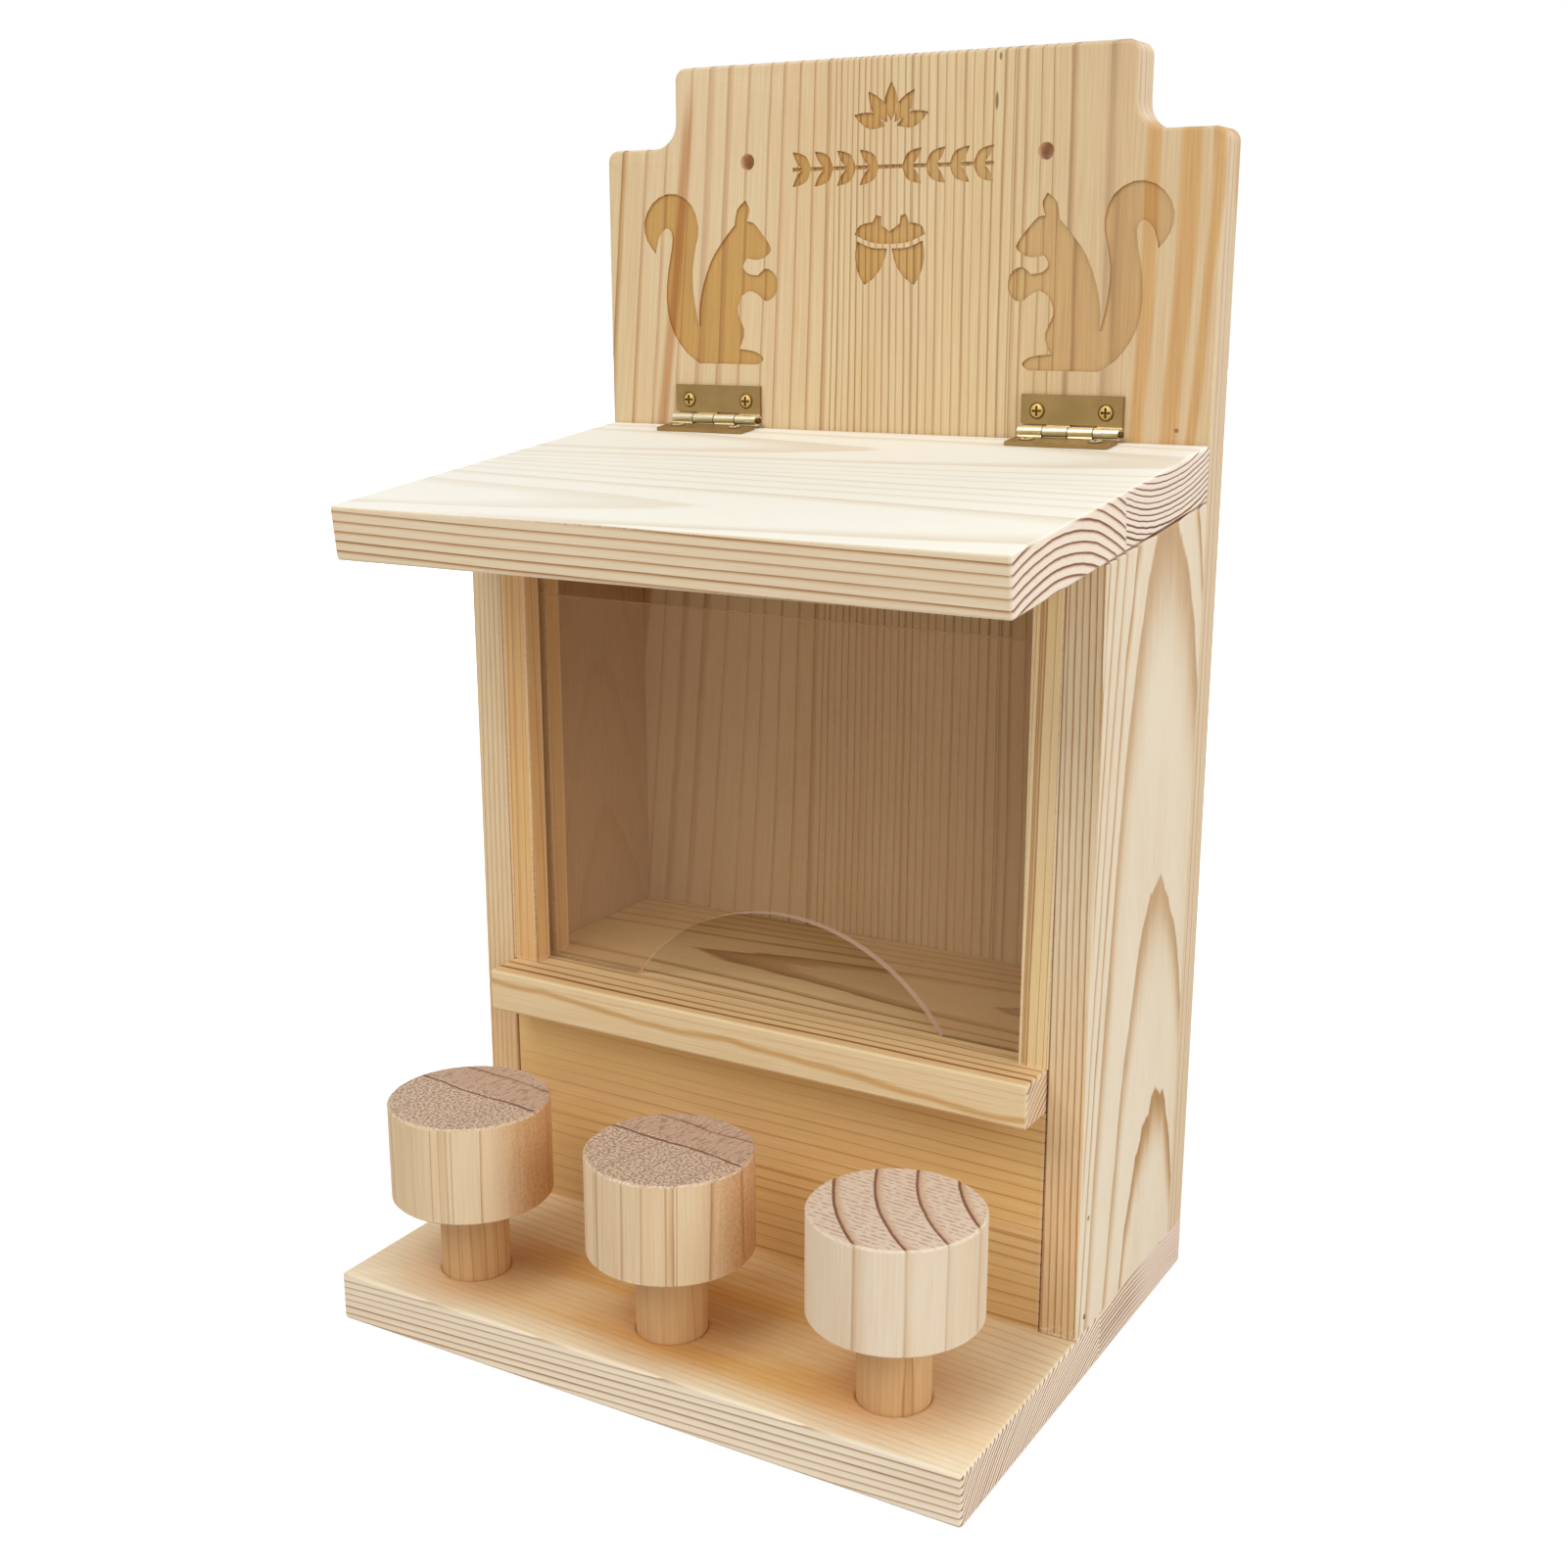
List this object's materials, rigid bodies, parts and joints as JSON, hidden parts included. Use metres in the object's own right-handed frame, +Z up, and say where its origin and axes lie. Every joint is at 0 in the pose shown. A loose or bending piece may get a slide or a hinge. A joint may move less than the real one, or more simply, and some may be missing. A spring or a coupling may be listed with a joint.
{
  "type": "squirrel feeder box",
  "caption": "Wooden squirrel feeder box with a sloping hinged lid, a clear sliding window with a feed arch, a tall back board and stools on its base.",
  "frame": {"origin": "on the ground under the middle of the base: the bottom centre of the whole box", "axes": "+X to the right as seen from the front, +Y towards the back board, +Z up"},
  "size_m": [0.165, 0.13, 0.295],
  "materials": {
    "back_pine": "bare planed pine, honey streaks, scorched engraving",
    "side_pine": "bare planed pine, pale, arched grain",
    "lid_pine": "bare planed pine, cream white",
    "base_pine": "bare planed pine, fine straight grain",
    "panel_pine": "bare planed pine, warm, straight grain",
    "ledge_pine": "bare planed pine, straight grain",
    "batten_pine": "bare planed pine strip",
    "seat_pine": "turned pine, bare",
    "stem_wood": "smooth dowel, bare",
    "clear_acrylic": "clear, polished",
    "hinge_brass": "satin leaves, polished knuckles",
    "screw_brass": "bright",
    "nail_steel": "plain"
  },
  "bodies": {
    "feeder": {"base_front_board": "base_pine", "base_rear_board": "base_pine", "back_board": "back_pine", "left_side_board": "side_pine", "right_side_board": "side_pine", "lower_front_panel": "panel_pine", "hopper_floor": "ledge_pine", "left_front_batten": "batten_pine", "right_front_batten": "batten_pine", "left_rear_batten": "batten_pine", "right_rear_batten": "batten_pine", "left_hinge_upper_leaf": "hinge_brass", "right_hinge_upper_leaf": "hinge_brass", "left_hinge_pin": "hinge_brass", "right_hinge_pin": "hinge_brass", "left_hinge_upper_screw_1": "screw_brass", "left_hinge_upper_screw_2": "screw_brass", "right_hinge_upper_screw_1": "screw_brass", "right_hinge_upper_screw_2": "screw_brass", "left_stool_seat": "seat_pine", "middle_stool_seat": "seat_pine", "right_stool_seat": "seat_pine", "left_stool_stem": "stem_wood", "middle_stool_stem": "stem_wood", "right_stool_stem": "stem_wood", "left_stool_screw": "nail_steel", "middle_stool_screw": "nail_steel", "right_stool_screw": "nail_steel", "left_side_brad_1": "nail_steel", "left_side_brad_2": "nail_steel", "right_side_brad_1": "nail_steel", "right_side_brad_2": "nail_steel", "left_back_brad_1": "nail_steel", "left_back_brad_2": "nail_steel", "left_back_brad_3": "nail_steel", "right_back_brad_1": "nail_steel", "right_back_brad_2": "nail_steel", "right_back_brad_3": "nail_steel", "left_base_brad_1": "nail_steel", "left_base_brad_2": "nail_steel", "right_base_brad_1": "nail_steel", "right_base_brad_2": "nail_steel"},
    "lid": {"lid_front_board": "lid_pine", "lid_rear_board": "lid_pine", "left_hinge_lower_leaf": "hinge_brass", "right_hinge_lower_leaf": "hinge_brass", "left_hinge_lower_screw_1": "screw_brass", "left_hinge_lower_screw_2": "screw_brass", "right_hinge_lower_screw_1": "screw_brass", "right_hinge_lower_screw_2": "screw_brass"},
    "window": {"window_panel": "clear_acrylic"}
  },
  "joints": [
    {"name": "lid_hinge", "type": "hinge", "parent": "feeder", "child": "lid", "pos_m": [0, 0.0531, 0.209], "axis": [-1, 0, 0], "range_deg": [0, 96.5]},
    {"name": "window_lift", "type": "slide", "parent": "feeder", "child": "window", "axis": [0, 0, 1], "range_m": [0, 0.018]}
  ]
}
